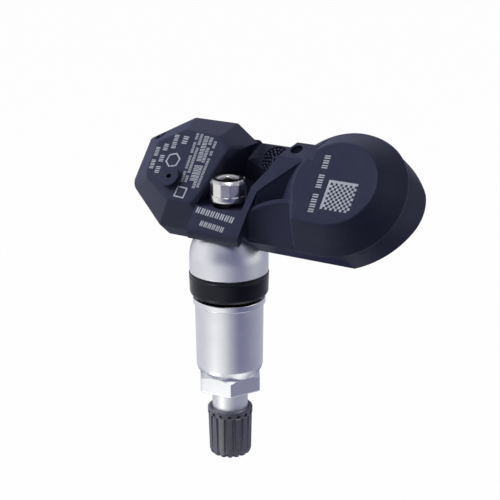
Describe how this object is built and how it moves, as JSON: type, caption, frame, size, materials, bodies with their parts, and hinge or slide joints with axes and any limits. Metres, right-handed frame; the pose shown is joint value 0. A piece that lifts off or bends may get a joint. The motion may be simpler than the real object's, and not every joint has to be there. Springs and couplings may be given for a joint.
{
  "type": "tyre pressure sensor",
  "caption": "Clamp-in tyre pressure sensor: two-lobed dark plastic housing tilted on the ball base of an aluminium valve stem with rubber grommet, union nut and ribbed cap.",
  "frame": {"origin": "on the valve axis, at the grommet shoulder that bears on the rim", "axes": "Z along the valve axis, +Z towards the housing inside the tyre, -Z out through the rim hole to the cap; X along the housing's length, +X to the round battery lobe; +Y towards the back of the tilted housing"},
  "size_m": [0.0622, 0.0242, 0.0678],
  "materials": {
    "housing_plastic": "fine-grained dark blue-grey moulding",
    "potting_resin": "cast black resin",
    "board_laminate": "green solder mask",
    "cell_steel": "bright steel can",
    "strap_nickel": "nickel strip",
    "package_black": "black moulding compound",
    "soft_seal": "soft grey silicone",
    "can_steel": "gold-tinted steel can",
    "coil_copper": "enamelled copper winding",
    "chip_ceramic": "fired ceramic",
    "stem_aluminium": "satin silver anodised",
    "screw_nickel": "bright nickel plate",
    "grommet_rubber": "black rubber",
    "washer_bright": "polished metal",
    "nut_aluminium": "satin silver anodised",
    "core_brass": "turned brass",
    "core_rubber": "black rubber",
    "spring_steel": "spring wire",
    "cap_plastic": "dark grey plastic"
  },
  "bodies": {
    "valve": {"valve_stem": "stem_aluminium", "hollow_screw": "screw_nickel", "grommet": "grommet_rubber", "core_barrel": "core_brass", "core_gasket": "core_rubber", "core_spring": "spring_steel"},
    "sensor": {"housing": "housing_plastic", "potting_fill": "potting_resin", "circuit_board": "board_laminate", "coin_cell": "cell_steel", "cell_tab_top": "strap_nickel", "cell_tab_bottom": "strap_nickel", "sensor_package": "package_black", "port_gasket": "soft_seal", "crystal": "can_steel", "lf_coil": "coil_copper", "rf_inductor": "coil_copper", "capacitor_a": "chip_ceramic", "capacitor_b": "chip_ceramic", "capacitor_c": "chip_ceramic"},
    "washer": {"clamp_washer": "washer_bright"},
    "nut": {"union_nut": "nut_aluminium"},
    "cap_disc": {"cap_seal": "core_rubber"},
    "cap": {"valve_cap": "cap_plastic"},
    "plunger": {"core_pin": "core_brass", "core_seal": "core_rubber"}
  },
  "joints": [
    {"name": "housing_tilt", "type": "hinge", "parent": "valve", "child": "sensor", "pos_m": [0, 0, 0.0079], "axis": [1, 0, 0], "range_deg": [-2, 4]},
    {"name": "nut_travel", "type": "slide", "parent": "valve", "child": "washer", "axis": [0, 0, -1], "range_m": [0, 0.0042]},
    {"name": "nut_turn", "type": "hinge", "parent": "washer", "child": "nut", "pos_m": [0, 0, -0.01], "axis": [0, 0, -1], "range_deg": [0, 1515]},
    {"name": "cap_travel", "type": "slide", "parent": "valve", "child": "cap_disc", "axis": [0, 0, -1], "range_m": [0, 0.00873]},
    {"name": "cap_turn", "type": "hinge", "parent": "cap_disc", "child": "cap", "pos_m": [0, 0, -0.03], "axis": [0, 0, -1], "range_deg": [0, 3965]},
    {"name": "core_press", "type": "slide", "parent": "valve", "child": "plunger", "axis": [0, 0, 1], "range_m": [0, 0.0012], "stiffness_N_per_m": 300, "springref_m": -0.001, "deforming": ["core_spring"]}
  ],
  "couplings": [
    {"joint": "nut_turn", "follows": "nut_travel", "rad_per_m": 6283.2},
    {"joint": "cap_turn", "follows": "cap_travel", "rad_per_m": 7913.3}
  ]
}
